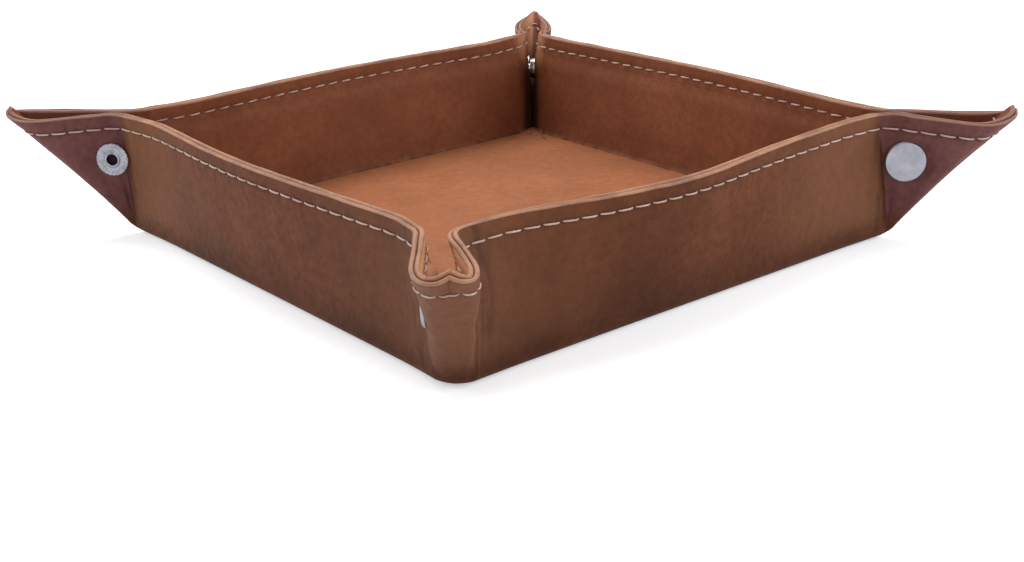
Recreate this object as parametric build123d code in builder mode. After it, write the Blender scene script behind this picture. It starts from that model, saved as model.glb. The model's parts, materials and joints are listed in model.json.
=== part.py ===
from build123d import *
from math import atan2, cos, hypot, sin, sqrt
import os

# Valet tray with four snapped corners, standing as in use. The tray is one square sheet of outer skin
# and lining with stiffening boards between them. Each corner of the sheet is pinched into a wing and
# held by a snap. The solids are split along the creases where the sheet folds.
# Millimetres, +Z up, origin under the middle of the floor.

# The tray as it stands
floor_side = 165.0
wall_height = 39.5
wall_lean = 2.0  # how far a wall's ends stand outside their floor crease at the rim
rim_belly = 2.5  # how much further the rim bows out at mid wall
floor_corner_radius = 8.0

# Layers of the sheet, from outside to inside
outer_skin_thickness = 1.4
board_thickness = 1.0
lining_thickness = 1.2

# Boards inside the sheet
board_clearance = 0.05  # between a board and the skin on each face
floor_board_margin = 6.0  # from the floor crease to the board's edge
wall_board_foot = 5.5  # from the floor to the board's lower edge
wall_board_end_margin = 4.0  # from the corner crease to the board's end
stitch_margin = 7.0  # from the rim to the board's upper edge, which leaves room for the seam

# Corner wings, measured at the rim along and across the corner's diagonal
wing_reach = 36.5  # tip beyond the floor's corner
fold_inset = 2.9  # where the wing's folded edge meets the floor, inside the floor's corner
neck_half_gap = 1.5  # between the lining and the diagonal where the wing leaves the walls
tip_half_gap = 0.2
wing_swell = 1.4  # how far the first bend carries the wing's side away from the diagonal
flat_share = 0.62  # part of the wing's length that stays flat for the snap
swell_share = 0.80  # part of the wing's length where the first bend ends
swell_chords = 2  # flat faces round the first bend
fold_chords = 3  # flat faces from there to the folded edge

# Running gaps
crease_gap = 0.15  # between two panels along a crease
wing_floor_gap = 0.4  # between a wing's foot and the floor panel

# Snaps, one at each corner
snap_height = 25.2
snap_reach = 4.2  # from the floor's corner outward along the diagonal
snap_gap = 0.1  # round a barrel in its hole
flange_sink = 0.3  # how deep a snap's flange presses into the lining
cap_diameter = 12.5
cap_height = 1.5
cap_edge_height = 0.9
cap_edge_radius = 0.45
barrel_diameter = 3.6
barrel_wall = 0.4
flange_diameter = 9.6  # of the socket and the stud
socket_height = 2.6
socket_rim_diameter = 7.8
socket_flange_height = 0.7
socket_floor_height = 0.5
socket_bore_diameter = 5.2
spring_wire_diameter = 0.4
spring_wire_sides = 6
spring_lip = 0.25  # of the socket, between its mouth and the spring's groove
spring_slot_angle = 50.0
stud_flange_height = 0.6
stud_head_diameter = 4.4
stud_neck_diameter = 3.9
stud_head_length = 2.0
stud_wall = 0.35
neck_share = 0.58  # of the head's length, up to where it swells
bulge_share = 0.68  # of the head's length, where it is widest
post_diameter = 10.6
post_height = 0.9
post_lip_diameter = 5.0
post_lip_height = 0.35

half_side = floor_side / 2
board_pocket = board_thickness + 2 * board_clearance
wall_thickness = outer_skin_thickness + board_pocket + lining_thickness
wing_thickness = outer_skin_thickness + lining_thickness
diagonal = sqrt(2)
walls = ("front", "right", "back", "left")

os.makedirs("parts", exist_ok=True)


def finish(builder, name):
    """Label a finished piece and write it under its name."""
    builder.part.label = name
    export_step(builder.part, f"parts/{name}.step")


def wall_frame(turn):
    """The tray's own plane, turned so that the wall in question faces -Y."""
    return Plane.XY.rotated((0, 0, 90 * turn))


def direction(frame, x, y, z):
    """A local direction of a frame, in the tray's directions."""
    return frame.from_local_coords(Vector(x, y, z)) - frame.origin


def crease_place(rise):
    """Where a wall ends beside its corner, measured from the floor's corner, at a share of the height."""
    return wall_lean * rise - wall_thickness - diagonal * neck_half_gap


def wall_offset(x, height, depth):
    """How far a face of a wall stands outside its foot, at a place along it and a height.

    A face lies a depth inside the outer skin, so its foot is on the mitre, as far above the floor.
    """
    foot = depth + crease_gap * diagonal
    rise = (height - foot) / (wall_height - foot)
    span = half_side + crease_place(rise)
    return rise * (wall_lean + rim_belly * (1 - (x / span) ** 2))


def wall_layer(turn, name, depth_outside, depth_inside):
    """One skin of a wall: mitred along the floor crease, bowed out along the rim."""
    frame = wall_frame(turn)
    foot = half_side + crease_place(0)
    top = half_side + crease_place(1)
    mitre = Plane(
        origin=frame.from_local_coords(Vector(0, -half_side, crease_gap * diagonal)),
        x_dir=frame.x_dir,
        z_dir=direction(frame, 0, -1, 1),
    )
    rim = Plane(origin=(0, 0, wall_height), x_dir=frame.x_dir, z_dir=(0, 0, 1))
    with BuildPart() as layer:
        with BuildSketch(mitre):
            with BuildLine():
                Polyline(
                    (-foot, depth_outside * diagonal),
                    (foot, depth_outside * diagonal),
                    (foot, depth_inside * diagonal),
                    (-foot, depth_inside * diagonal),
                    close=True,
                )
            make_face()
        with BuildSketch(rim):
            ends = -half_side - wall_offset(top, wall_height, 0)
            middle = -half_side - wall_offset(0, wall_height, 0)
            with BuildLine():
                ThreePointArc(
                    (-top, ends + depth_outside), (0, middle + depth_outside), (top, ends + depth_outside)
                )
                Line((top, ends + depth_outside), (top, ends + depth_inside))
                ThreePointArc(
                    (top, ends + depth_inside), (0, middle + depth_inside), (-top, ends + depth_inside)
                )
                Line((-top, ends + depth_inside), (-top, ends + depth_outside))
            make_face()
        loft(ruled=True)
    finish(layer, name)


def wall_board(turn, name):
    """The stiffening board between a wall's two skins, short of its creases and of the seam."""
    frame = wall_frame(turn)
    pocket_outside = outer_skin_thickness
    pocket_inside = outer_skin_thickness + board_pocket
    near = board_clearance + pocket_outside - half_side
    far = pocket_inside - board_clearance - half_side
    end = half_side + crease_place(0) - wall_board_end_margin
    with BuildPart() as board:
        for height in (wall_board_foot, wall_height - stitch_margin):
            level = Plane(origin=(0, 0, height), x_dir=frame.x_dir, z_dir=(0, 0, 1))
            near_ends = near - wall_offset(end, height, pocket_outside)
            near_middle = near - wall_offset(0, height, pocket_outside)
            far_ends = far - wall_offset(end, height, pocket_inside)
            far_middle = far - wall_offset(0, height, pocket_inside)
            with BuildSketch(level):
                with BuildLine():
                    ThreePointArc((-end, near_ends), (0, near_middle), (end, near_ends))
                    Line((end, near_ends), (end, far_ends))
                    ThreePointArc((end, far_ends), (0, far_middle), (-end, far_ends))
                    Line((-end, far_ends), (-end, near_ends))
                make_face()
        loft(ruled=True)
    finish(board, name)


def bend(start, end, heading, chords):
    """Points on an arc from a start with a given heading to an end, and the heading there."""
    turn = 2 * (atan2(end[1] - start[1], end[0] - start[0]) - heading)
    radius = hypot(end[0] - start[0], end[1] - start[1]) / (2 * sin(turn / 2))
    points = []
    for step in range(1, chords + 1):
        angle = heading + turn * step / chords
        along = start[0] + radius * (sin(angle) - sin(heading))
        across = start[1] - radius * (cos(angle) - cos(heading))
        points.append((along, across))
    return points, heading + turn


def mitre(before, point, after):
    """How far the corner at a point moves when both faces beside it move out by one."""
    normals = []
    for first, second in ((before, point), (point, after)):
        length = hypot(second[0] - first[0], second[1] - first[1])
        normals.append(((first[1] - second[1]) / length, (second[0] - first[0]) / length))
    (left_x, left_y), (right_x, right_y) = normals
    scale = 1 + left_x * right_x + left_y * right_y
    return ((left_x + right_x) / scale, (left_y + right_y) / scale)


def wing_side(rise, away):
    """The outline of a wing's side at a share of the height, a distance away from the lining's face.

    It is measured along and across the corner's diagonal. It runs flat past the snap, bends away from
    the diagonal and closes again at the folded edge. All its faces meet in one apex below the floor's
    corner, so the outline at any height is the rim's outline drawn towards that apex.
    """
    start = crease_place(rise) * diagonal + neck_half_gap
    rim_start = crease_place(1) * diagonal + neck_half_gap
    foot_start = crease_place(0) * diagonal + neck_half_gap
    apex_rise = (foot_start + fold_inset) / (wing_reach + fold_inset - wall_lean * diagonal)
    size = (rise - apex_rise) / (1 - apex_rise)
    length = wing_reach - rim_start
    flat = (flat_share * length, 0)
    swell = (swell_share * length, wing_swell)
    fold = (length, tip_half_gap - neck_half_gap)
    swell_points, heading = bend(flat, swell, 0, swell_chords)
    fold_points, heading = bend(swell, fold, heading, fold_chords)
    outline = [(0, 0), flat, *swell_points, *fold_points]
    beyond = (2 * outline[-1][0] - outline[-2][0], 2 * outline[-1][1] - outline[-2][1])
    side = [(start + away + crease_gap * diagonal, neck_half_gap + away)]
    for before, point, after in zip(outline, outline[1:], [*outline[2:], beyond]):
        shift_along, shift_across = mitre(before, point, after)
        along = start + size * point[0] + away * shift_along
        side.append((along, neck_half_gap + size * point[1] + away * shift_across))
    return side


def corner_plane(turn, end, height):
    """A level plane at a wall's corner, with its X outward along the diagonal."""
    frame = wall_frame(turn)
    return Plane(
        origin=frame.from_local_coords(Vector(end * half_side, -half_side, height)),
        x_dir=direction(frame, end, -1, 0),
        z_dir=(0, 0, 1),
    )


def snap_plane(turn, end):
    """The diagonal plane at the snap, with its Z pointing out through the wing half of this wall."""
    frame = wall_frame(turn)
    outward = direction(frame, end, -1, 0) / diagonal
    corner = frame.from_local_coords(Vector(end * half_side, -half_side, snap_height))
    return Plane(
        origin=corner + outward * snap_reach,
        x_dir=outward,
        z_dir=direction(frame, -end, -1, 0),
    )


def wing_layer(turn, end, name, near, far, sink_diameter):
    """One skin of half a wing: flat faces from its foot to the rim, with its snap's hole."""
    levels = []
    for height in (wall_thickness + wing_floor_gap, wall_height):
        plane = corner_plane(turn, end, height)
        side = wing_side(height / wall_height, near) + wing_side(height / wall_height, far)[::-1]
        levels.append([plane.from_local_coords(Vector(along, -end * across)) for along, across in side])
    faces = [Face(Wire.make_polygon(level)) for level in levels]
    low, high = levels
    for place in range(len(low)):
        faces.append(Face(Wire.make_polygon([low[place - 1], low[place], high[place], high[place - 1]])))
    with BuildPart() as layer:
        add(Solid(Shell(faces)))
        snap = snap_plane(turn, end)
        with BuildSketch(snap.offset(neck_half_gap)):
            Circle(barrel_diameter / 2 + snap_gap)
        extrude(amount=wing_thickness, mode=Mode.SUBTRACT)
        if sink_diameter:
            with BuildSketch(snap.offset(neck_half_gap)):
                Circle(sink_diameter / 2 + snap_gap)
            extrude(amount=flange_sink, mode=Mode.SUBTRACT)
    finish(layer, name)


def floor_layer(name, low, thickness, margin, bevelled):
    """One layer of the floor, with bevelled edges where the walls are mitred against it."""
    side = floor_side - 2 * (low + margin)
    with BuildPart() as layer:
        with BuildSketch(Plane.XY.offset(low)):
            RectangleRounded(side, side, floor_corner_radius - low)
        if bevelled:
            extrude(amount=thickness, taper=45)
        else:
            extrude(amount=thickness)
    finish(layer, name)


def turned(profile_plane, name, outline):
    """A turned piece of a snap: an outline of radius and height, spun about the snap's axis."""
    section = Plane(origin=profile_plane.origin, x_dir=profile_plane.x_dir, z_dir=profile_plane.y_dir)
    with BuildPart() as piece:
        with BuildSketch(section):
            with BuildLine():
                Polyline(*[(radius, -height) for radius, height in outline], close=True)
            make_face()
        revolve(axis=Axis(profile_plane.origin, profile_plane.z_dir))
    finish(piece, name)


def snap_cap(plane, name):
    """The smooth cap outside the wing, on the barrel that holds the socket."""
    face = neck_half_gap + wing_thickness
    barrel = barrel_diameter / 2
    cap = cap_diameter / 2
    barrel_end = neck_half_gap + flange_sink - socket_floor_height
    turned(
        plane,
        name,
        (
            (0, face + cap_height),
            (cap / 2, face + cap_height - cap_edge_radius / 4),
            (cap - cap_edge_radius, face + cap_edge_height + cap_edge_radius / 2),
            (cap, face + cap_edge_height - cap_edge_radius / 2),
            (cap, face),
            (barrel, face),
            (barrel, barrel_end),
            (0, barrel_end),
        ),
    )


def snap_socket(plane, name):
    """The socket on the lining under the cap, with a groove for its spring."""
    base = neck_half_gap + flange_sink
    mouth = base - socket_height
    bore = socket_bore_diameter / 2
    groove = bore + spring_wire_diameter
    groove_high = mouth + spring_lip
    groove_low = groove_high + 2 * spring_wire_diameter
    turned(
        plane,
        name,
        (
            (barrel_diameter / 2 + snap_gap, base),
            (flange_diameter / 2, base),
            (flange_diameter / 2, base - socket_flange_height),
            (socket_rim_diameter / 2, base - socket_flange_height),
            (socket_rim_diameter / 2 - spring_wire_diameter, mouth),
            (bore, mouth),
            (bore, groove_high),
            (groove, groove_high),
            (groove, groove_low),
            (bore, groove_low),
            (bore, base - socket_floor_height),
            (barrel_diameter / 2 + snap_gap, base - socket_floor_height),
        ),
    )


def snap_spring(plane, name):
    """The split ring of spring wire in the socket's groove, drawn as the stud's head spreads it."""
    mouth = neck_half_gap + flange_sink - socket_height
    ring = socket_bore_diameter / 2
    start = plane.offset(mouth + spring_lip + spring_wire_diameter)
    section = Plane(origin=start.origin + start.x_dir * ring, x_dir=start.x_dir, z_dir=start.y_dir)
    with BuildPart() as spring:
        with BuildSketch(section):
            RegularPolygon(spring_wire_diameter / 2, spring_wire_sides)
        revolve(axis=Axis(plane.origin, plane.z_dir), revolution_arc=360 - spring_slot_angle)
    finish(spring, name)


def snap_stud(plane, name):
    """The stud on the opposite lining, with its hollow head inside the socket."""
    base = neck_half_gap + flange_sink
    face = base - stud_flange_height
    top = face - stud_head_length
    head = stud_head_diameter / 2
    neck = stud_neck_diameter / 2
    hollow = barrel_diameter / 2 - barrel_wall + snap_gap
    turned(
        plane,
        name,
        (
            (barrel_diameter / 2 + snap_gap, base),
            (flange_diameter / 2, base),
            (flange_diameter / 2, face),
            (neck, face),
            (neck, face - stud_head_length * neck_share),
            (head, face - stud_head_length * bulge_share),
            (head - stud_wall, top),
            (0, top),
            (0, top + stud_wall),
            (hollow, top + stud_wall),
            (hollow, base - stud_flange_height / 2 - snap_gap),
            (barrel_diameter / 2 + snap_gap, base - stud_flange_height / 2 - snap_gap),
        ),
    )


def snap_post(plane, name):
    """The open ring outside the other half of the wing, on the barrel that holds the stud."""
    face = neck_half_gap + wing_thickness
    barrel = barrel_diameter / 2
    bore = barrel - barrel_wall
    barrel_end = neck_half_gap + flange_sink - stud_flange_height / 2
    turned(
        plane,
        name,
        (
            (bore, face + post_height - post_lip_height),
            (post_lip_diameter / 2 - barrel_wall, face + post_height - post_lip_height / 2),
            (post_lip_diameter / 2, face + post_height),
            (post_diameter / 2 - post_height / 2, face + post_height),
            (post_diameter / 2, face + post_height / 2),
            (post_diameter / 2, face),
            (barrel, face),
            (barrel, barrel_end),
            (bore, barrel_end),
        ),
    )


# The floor: outer skin, board and lining
floor_layer("floor_outer_skin", 0, outer_skin_thickness, crease_gap, True)
floor_layer(
    "floor_board", outer_skin_thickness + board_clearance, board_thickness, floor_board_margin, False
)
floor_layer("floor_lining", outer_skin_thickness + board_pocket, lining_thickness, crease_gap, True)

# The walls with their boards, their wing halves and the snap pieces on those
for turn, wall in enumerate(walls):
    wall_layer(turn, f"{wall}_wall_outer_skin", 0, outer_skin_thickness)
    wall_board(turn, f"{wall}_wall_board")
    wall_layer(turn, f"{wall}_wall_lining", outer_skin_thickness + board_pocket, wall_thickness)
    for end, side in ((-1, "left"), (1, "right")):
        wing = f"{wall}_wall_{side}_wing"
        wing_layer(turn, end, f"{wing}_lining", 0, lining_thickness, flange_diameter)
        wing_layer(turn, end, f"{wing}_outer_skin", lining_thickness, wing_thickness, 0)
    snap_cap(snap_plane(turn, 1), f"{wall}_wall_snap_cap")
    snap_socket(snap_plane(turn, 1), f"{wall}_wall_snap_socket")
    snap_spring(snap_plane(turn, 1), f"{wall}_wall_snap_spring")
    snap_stud(snap_plane(turn, -1), f"{wall}_wall_snap_stud")
    snap_post(snap_plane(turn, -1), f"{wall}_wall_snap_post")
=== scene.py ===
import json
import math

import bpy
import numpy as np
from mathutils import Matrix, Vector, noise

# A valet tray of smooth brown faux leather: two skins sewn at the rim, pinched into a wing at each
# corner and held there by a snap. Lengths are millimetres until a mesh is made, then metres.
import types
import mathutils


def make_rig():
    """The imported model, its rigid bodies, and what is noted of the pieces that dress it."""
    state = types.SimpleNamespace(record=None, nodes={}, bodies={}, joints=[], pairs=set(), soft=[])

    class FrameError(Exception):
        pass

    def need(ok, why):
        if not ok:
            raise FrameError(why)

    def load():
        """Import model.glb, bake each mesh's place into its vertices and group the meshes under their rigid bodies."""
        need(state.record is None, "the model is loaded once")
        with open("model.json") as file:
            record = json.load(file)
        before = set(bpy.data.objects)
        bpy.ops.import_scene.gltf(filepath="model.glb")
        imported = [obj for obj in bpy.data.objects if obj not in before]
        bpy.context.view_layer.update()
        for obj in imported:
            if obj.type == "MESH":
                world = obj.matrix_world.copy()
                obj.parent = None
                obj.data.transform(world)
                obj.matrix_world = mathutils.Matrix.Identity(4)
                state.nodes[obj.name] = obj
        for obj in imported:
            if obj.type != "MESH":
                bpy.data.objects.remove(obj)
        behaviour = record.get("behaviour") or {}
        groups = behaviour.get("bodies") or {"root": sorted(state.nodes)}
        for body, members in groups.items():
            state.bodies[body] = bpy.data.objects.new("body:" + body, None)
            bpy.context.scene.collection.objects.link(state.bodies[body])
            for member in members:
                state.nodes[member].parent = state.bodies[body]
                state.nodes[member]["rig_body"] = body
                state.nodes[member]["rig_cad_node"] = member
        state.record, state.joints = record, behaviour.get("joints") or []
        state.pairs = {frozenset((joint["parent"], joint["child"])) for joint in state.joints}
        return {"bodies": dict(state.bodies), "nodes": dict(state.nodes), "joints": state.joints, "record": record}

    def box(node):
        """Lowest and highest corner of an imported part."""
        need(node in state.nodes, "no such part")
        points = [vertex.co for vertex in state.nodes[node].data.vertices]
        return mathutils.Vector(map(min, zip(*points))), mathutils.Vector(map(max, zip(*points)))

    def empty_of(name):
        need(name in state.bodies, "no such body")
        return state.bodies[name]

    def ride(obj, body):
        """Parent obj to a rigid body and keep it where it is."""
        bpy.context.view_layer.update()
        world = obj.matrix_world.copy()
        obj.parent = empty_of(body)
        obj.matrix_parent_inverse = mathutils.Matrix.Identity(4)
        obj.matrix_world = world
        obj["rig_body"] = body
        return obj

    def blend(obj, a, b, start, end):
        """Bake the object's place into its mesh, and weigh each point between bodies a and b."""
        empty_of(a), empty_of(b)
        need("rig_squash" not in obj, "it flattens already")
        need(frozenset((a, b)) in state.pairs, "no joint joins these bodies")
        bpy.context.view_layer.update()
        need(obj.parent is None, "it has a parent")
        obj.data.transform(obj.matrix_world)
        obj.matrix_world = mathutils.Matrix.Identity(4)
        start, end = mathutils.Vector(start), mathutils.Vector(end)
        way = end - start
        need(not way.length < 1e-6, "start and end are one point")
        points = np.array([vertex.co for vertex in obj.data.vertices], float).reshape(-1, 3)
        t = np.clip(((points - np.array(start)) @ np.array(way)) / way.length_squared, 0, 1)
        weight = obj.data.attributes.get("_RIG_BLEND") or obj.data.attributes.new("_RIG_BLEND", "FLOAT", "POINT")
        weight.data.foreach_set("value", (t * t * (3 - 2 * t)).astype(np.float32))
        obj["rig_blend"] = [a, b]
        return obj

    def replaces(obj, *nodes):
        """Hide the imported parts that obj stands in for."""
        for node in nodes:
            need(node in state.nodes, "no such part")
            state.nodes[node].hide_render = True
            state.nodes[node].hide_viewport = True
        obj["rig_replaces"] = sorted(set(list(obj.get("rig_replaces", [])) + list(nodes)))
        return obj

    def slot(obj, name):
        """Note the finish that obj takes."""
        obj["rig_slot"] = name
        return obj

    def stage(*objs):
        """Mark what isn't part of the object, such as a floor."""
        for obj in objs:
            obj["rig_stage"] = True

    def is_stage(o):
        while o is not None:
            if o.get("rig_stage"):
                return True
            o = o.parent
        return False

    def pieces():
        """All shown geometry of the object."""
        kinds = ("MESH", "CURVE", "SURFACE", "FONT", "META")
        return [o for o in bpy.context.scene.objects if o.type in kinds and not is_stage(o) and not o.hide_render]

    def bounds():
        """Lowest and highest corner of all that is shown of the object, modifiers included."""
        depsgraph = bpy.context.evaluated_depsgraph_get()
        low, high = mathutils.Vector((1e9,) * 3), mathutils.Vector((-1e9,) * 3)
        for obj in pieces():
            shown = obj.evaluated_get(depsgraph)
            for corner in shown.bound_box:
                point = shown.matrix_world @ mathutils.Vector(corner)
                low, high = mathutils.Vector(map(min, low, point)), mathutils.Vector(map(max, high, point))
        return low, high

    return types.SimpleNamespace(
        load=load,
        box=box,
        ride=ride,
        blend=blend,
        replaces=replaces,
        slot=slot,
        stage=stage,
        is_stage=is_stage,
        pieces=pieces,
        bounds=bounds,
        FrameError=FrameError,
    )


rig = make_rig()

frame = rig.load()
cad_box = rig.bounds()

MM = 0.001
ROOT2 = math.sqrt(2)

# The tray as it stands
HALF_SIDE = 82.5
RIM_HEIGHT = 39.5
FOOT_HEIGHT = 3.0  # of the rounding between the floor and the walls
WALL_RISE = RIM_HEIGHT - FOOT_HEIGHT
WALLS = ("front", "right", "back", "left")

# Thickness of the two skins, with the board between them in the walls
WALL_THICKNESS = 3.7
SEAM_THICKNESS = 2.9
WING_THICKNESS = 2.6
LEAST_THICKNESS = 0.9  # where the lining is pushed towards the outer skin
FLOOR_TOP = 3.7
BOARD_TOP = (29, 33)  # heights over which a wall grows thinner above its board
BOARD_MARGIN = 4.7  # from the floor's corner crease to the end of a wall's board
BOARD_END = (-4, 3)  # distances inside that end over which the wall reaches its full thickness

# How far each wall's rim stands outside its foot, and above the common height, at stations along it
WALL_STATIONS = (64.0, 54.0, 33.0, 8.0)  # from the wall's middle
WALL_BOW = {  # left of the wall's middle, then right of it
    "front": ((-3.0, -0.9, 3.9, 7.2), (-0.6, 0.2, 1.9, 5.2)),
    "right": ((0.1, 1.2, 2.4, 3.6), (1.3, 1.9, 2.5, 3.8)),
    "back": ((0.3, 0.8, 2.5, 4.1), (-0.6, -0.1, 2.2, 3.5)),
    "left": ((1.2, 1.5, 3.4, 4.5), (0.3, 1.2, 2.5, 3.9)),
}
WALL_RAISE = {
    "front": ((0.4, 0.25, 0.0, 0.0), (0.0, 0.0, 0.0, 0.0)),
    "right": ((0.0, 0.1, 0.2, 0.3), (0.4, 0.4, 0.3, 0.35)),
    "back": ((0.0, 0.0, 0.12, 0.15), (0.0, 0.0, 0.05, 0.15)),
    "left": ((0.0, 0.0, 0.0, 0.0), (0.0, 0.0, 0.0, 0.0)),
}

# Snaps
cap_low, cap_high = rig.box("front_wall_snap_cap")
cap_x, cap_y, SNAP_HEIGHT = [(low + high) / 2 / MM for low, high in zip(cap_low, cap_high)]
SNAP_REACH = (cap_x - cap_y - 2 * HALF_SIDE) / ROOT2  # from the floor's corner along the diagonal
SNAP_FACE = 4.1  # from the diagonal to the wing's outer face
CAP_RADIUS = 6.25
CORNER_ZONE = 12  # how far inside the floor's corner, along a wall, a wing's own shaping begins
CLAMP_EDGE = (4.5, 8.5)  # distances from the snap's axis over which it stops holding the leather flat
CLAMP_TIP = (0.5, 6.0)  # and distances from the wing's folded edge over which it starts
SNAP_LIP_HEIGHT = 0.28  # the leather rises a little round the snap
SNAP_LIP = (7.6, 1.0)  # at this distance from the axis, and this wide
SNAP_CLEAR = (5.0, 8.0)  # distances from the axis over which the leather grows uneven
WING_SPAN = 30  # how far from the floor's corner, along a wall, that holds

# The seam
SEAM_BELOW_RIM = 4.7
STITCH_PITCH = 5.5
STITCH_LENGTH = 5.3
INNER_STITCH_LENGTH = 3.9
THREAD_RADIUS = 0.26
STITCH_ROWS = 8
STITCH_SIDES = 8
STITCH_SLANT = (0.16, 0.10)  # across the seam: what varies, and what all have
STITCH_RISE = 0.20
STITCH_DIVE = 0.34  # how deep a stitch's ends go into the leather
SEAM_DEPTH = 0.20
HOLE_DEPTH = 0.30  # added at each needle hole
HOLE_WIDTH = 0.7

# Outlines of the wings at the rim, from the tip to the neck and the crease beside the wall: along the
# diagonal from the floor's corner, across it on the half's own side, and height
WINGS = {
    ("front", "cap"): (
        (36.2, 0.4, 39.6), (36.1, 4.4, 38.2), (28.8, 11.0, 37.2), (19, 10.4, 38.2),
        (11, 8.4, 38.9), (3.5, 6.6, 39.4), (-4.6, 4.9, 39.7),
    ),
    ("right", "post"): (
        (36.2, -0.4, 39.6), (36.0, 1.6, 39.0), (28.8, 3.4, 38.6), (19, 2.2, 39.0),
        (11, 2.2, 39.3), (5, 2.4, 39.4), (-1.5, 2.6, 39.5),
    ),
    ("right", "cap"): (
        (36.4, -1.4, 39.6), (36.1, 1.4, 39.1), (29.5, 4.0, 38.6), (19, 6.2, 39.0),
        (10, 7.4, 39.3), (4, 6.6, 39.5), (-1.5, 5.4, 39.5),
    ),
    ("back", "post"): (
        (36.4, 1.4, 39.6), (36.1, 4.2, 39.1), (29.5, 7.6, 38.6), (19, 8.1, 39.0),
        (10, 7.4, 39.3), (4, 6.2, 39.5), (-1.5, 5.0, 39.5),
    ),
    ("back", "cap"): (
        (38.0, -1.2, 39.8), (37.7, 0.5, 39.8), (30, 1.8, 40.0), (19, 1.6, 40.1),
        (11, 1.8, 39.9), (5, 2.2, 39.7), (-1.5, 2.6, 39.6),
    ),
    ("left", "post"): (
        (38.0, 1.2, 39.8), (37.8, 3.8, 38.4), (30, 8.0, 37.7), (19, 7.6, 38.8),
        (11, 6.3, 39.3), (5, 5.4, 39.5), (0.0, 4.6, 39.5),
    ),
    ("left", "cap"): (
        (29.0, -4.0, 38.9), (29.8, -2.2, 38.6), (27.5, 2.8, 38.0), (20.5, 6.2, 38.2),
        (12.5, 6.9, 38.7), (4.5, 7.5, 39.2), (-5.2, 8.3, 39.6),
    ),
    ("front", "post"): (
        (29.0, 4.0, 38.9), (28.0, 6.6, 38.6), (24.9, 10.4, 38.1), (16.4, 9.9, 38.4),
        (9.4, 7.0, 39.0), (2.6, 4.2, 39.6), (-5.4, 1.8, 40.0),
    ),
}
# The near corner is rounder and stands wider open than the others
NEAR_CORNER = NEAR_LEFT, NEAR_RIGHT = ("left", "cap"), ("front", "post")
TIP_NOTCH = {NEAR_LEFT: (-0.9, -0.4, 0.9), NEAR_RIGHT: (-0.9, 0.4, 0.9)}
# One of its halves is pinched below the rim, by this share at each place from the tip on
PINCH = {NEAR_LEFT: (0, 0.16, 0.16, 0.16, 0.112, 0.048, 0)}
PINCH_ENDS = (0.35, 0.85)  # shares of the height
# How far the creases beside the near corner bulge at half height
CREASE_BELLY = {NEAR_LEFT: 0.6, NEAR_RIGHT: 3.2}
# How wide the rim bends from wall to wing, where not as soft as elsewhere
RIM_BEND = {("front", "cap"): 7.0, ("left", "post"): 6.4, NEAR_LEFT: 5.4, NEAR_RIGHT: 3.6}
# At half height, from the tip on: how far a wing's side bulges, and how far it hangs back to the tray
WING_BULGE = (0.0, 0.5, 1.2, 0.8, 0.2, 0, 0)
WING_SAG = (1.8, 1.8, 1.2, 0.6, 0, 0, 0)
# Where a wing meets the top of the foot, and the underside, along and across the diagonal
WING_FOOT = ((2.6, 0), (2.45, 0.4), (2.1, 0.65), (1.7, 0.8), (1.3, 0.9), (0.9, 0.95), (0.3, 1.05))
WING_BASE = (
    (-5.5, 0), (-5.5, 0.12), (-5.46, 0.25), (-5.4, 0.4), (-5.3, 0.55), (-5.2, 0.7), (-5.1, 0.85),
)
FOOT_OUT = 0.95  # how far the walls stand outside the floor's creases at the top of the foot
ROUND_FOOT = 8.0  # radius of the near corner there
ROUND_TURNS = (0, 9, 18, 26, 33, 40, 45)  # and the turn in degrees of each place round it
CREASE_SHIFT = 1.0  # of the crease beside a wing, outward along the wall below the snap
CREASE_SHIFT_AT = (0.28, 0.2)  # its middle and width, as shares of the height
CREASE_SHARP = 1.3
CREASE_SOFT = 4.6
# Painted shade: how far each wall's wings take a darker purple-brown copy of their leather, left then right
WING_SHADE = {"front": (0.0, 0.95), "right": (0.8, 0.8), "back": (0.8, 0.8), "left": (0.95, 0.0)}
# Painted light: how far the lining is painted paler, high inside two of the corners
PAINTED_LIGHT_LINING = {NEAR_LEFT: 1.0, NEAR_RIGHT: 1.0, ("right", "cap"): 0.6, ("back", "post"): 0.6}
PAINTED_SHEEN = 0.11  # painted sheen: how much paler the walls' outer faces are painted towards their ends
PAINTED_SHEEN_SPAN = (15, 72)  # distances from a wall's middle
NEAR_PAINTED_SHEEN = (0.55, 0.35)  # its share at the near corner, and what the wing adds
BORDER = 71.5  # where a wall's piece meets its wings' pieces, from the wall's middle
# Where the sheet bends when the tray unfolds
FOLD_START = 10.4  # inward from the floor's corner
FOLD_SPAN = 5.2
FOLD_LEAN = -0.0506
FLOOR_FOLD = 2.1  # on both sides of the floor's edge

# Rows of points up a wall, as shares of the height from the foot to the rim
FOOT_ROWS = 6
LOW_ROWS = 17
HIGH_ROWS = 15
HIGH_START = 0.80
PROBES = 3000
COLUMN_STEP = 0.9
COLUMN_ROW = 0.88  # the share of the height at which the columns are that far apart
RIM_ROUNDING = 0.75

# Painted shade in the creases, puckers, seam and foot, with some dirt in the wings' mouths: how dark it is, and where
CREASE_SHADE = 0.85
NEAR_CREASE_SHADE = 0.3
CREASE_SHADE_WIDTH = 0.45
PUCKER_SHADE = 3.2  # for each millimetre of depth
SEAM_SHADE = 0.35
FOOT_SHADE = np.linspace(0.42, 0.26, FOOT_ROWS)  # painted shade, from the underside to the top of the foot
MOUTH_SHADE_AND_DIRT = 0.85
MOUTH_SHADE_ACROSS = (1.2, 4.5)  # distances from the diagonal
MOUTH_SHADE_HEIGHT = (26, 34)

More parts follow.
